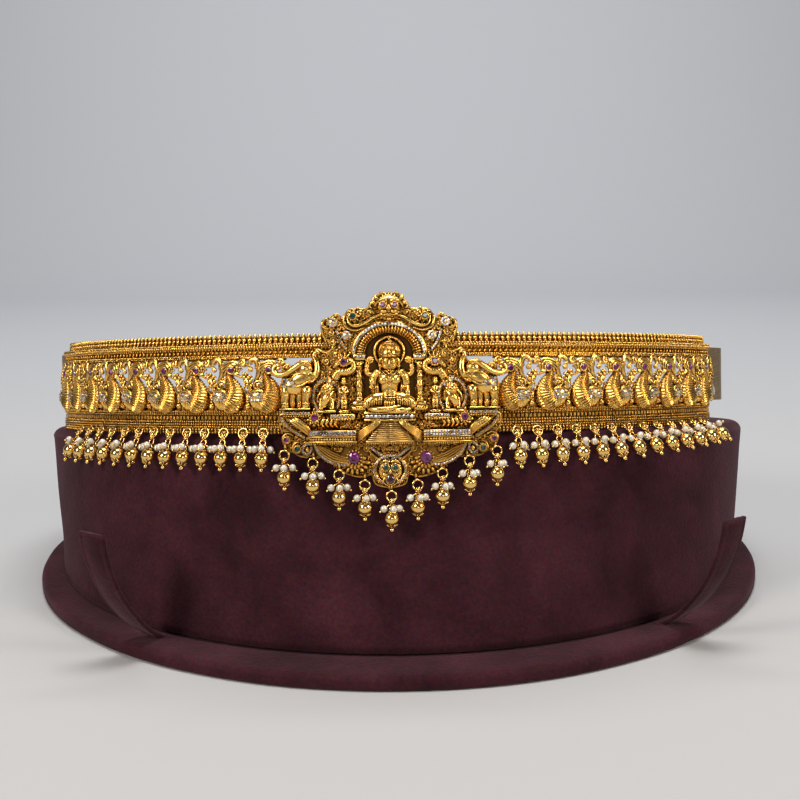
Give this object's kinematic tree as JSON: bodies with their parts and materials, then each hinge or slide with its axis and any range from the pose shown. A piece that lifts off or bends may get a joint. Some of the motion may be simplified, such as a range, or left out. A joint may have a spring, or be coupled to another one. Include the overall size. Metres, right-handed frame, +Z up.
{
  "type": "waist belt on display stand",
  "caption": "Temple style gold waist belt with peacock links, a figured shrine medallion, set stones and hanging drops, held on a low suede covered drum stand",
  "frame": {"origin": "middle of the base plate, on its underside", "axes": "+X to the right as seen from the front, +Y from the medallion towards the back clasp, +Z up"},
  "size_m": [0.284, 0.284, 0.1185],
  "materials": {
    "antique_gold": "antique gold plate, oxidised in the recesses",
    "polished_gold": "polished gold plate",
    "dull_brass": "dull antique brass, brushed",
    "suede": "maroon suede with a short nap",
    "pearl": "cream pearl lustre",
    "ruby": "faceted pink red stone",
    "emerald": "faceted dark green stone",
    "garnet": "faceted dark red stone"
  },
  "bodies": {
    "root": {"base_plate": "suede", "display_drum": "suede", "tab_left": "suede", "tab_right": "suede", "upper_band": "antique_gold", "lower_band": "antique_gold", "strap_left": "dull_brass", "strap_right": "dull_brass", "back_clasp": "dull_brass", "peacock_link_left_1": "antique_gold", "peacock_link_left_2": "antique_gold", "peacock_link_left_3": "antique_gold", "peacock_link_left_4": "antique_gold", "peacock_link_left_5": "antique_gold", "peacock_link_left_6": "antique_gold", "peacock_link_left_7": "antique_gold", "peacock_link_left_8": "antique_gold", "peacock_link_left_9": "antique_gold", "peacock_link_right_1": "antique_gold", "peacock_link_right_2": "antique_gold", "peacock_link_right_3": "antique_gold", "peacock_link_right_4": "antique_gold", "peacock_link_right_5": "antique_gold", "peacock_link_right_6": "antique_gold", "peacock_link_right_7": "antique_gold", "peacock_link_right_8": "antique_gold", "medallion_plate": "antique_gold", "seated_goddess": "antique_gold", "elephant_left": "antique_gold", "elephant_right": "antique_gold", "lion_left": "antique_gold", "lion_right": "antique_gold", "arch_bird_left": "antique_gold", "arch_bird_right": "antique_gold", "top_mask": "antique_gold", "lower_mask": "antique_gold", "medallion_drop_1": "polished_gold", "medallion_drop_2": "polished_gold", "medallion_drop_3": "polished_gold", "medallion_drop_4": "polished_gold", "medallion_drop_5": "polished_gold", "medallion_drop_6": "polished_gold", "medallion_drop_7": "polished_gold", "medallion_drop_8": "polished_gold", "medallion_drop_9": "polished_gold", "band_drops_left": "polished_gold", "band_drops_right": "polished_gold", "medallion_pearls": "pearl", "band_pearls_left": "pearl", "band_pearls_right": "pearl", "eye_rubies": "ruby", "medallion_rubies": "ruby", "emeralds": "emerald", "garnets": "garnet"}
  },
  "joints": []
}
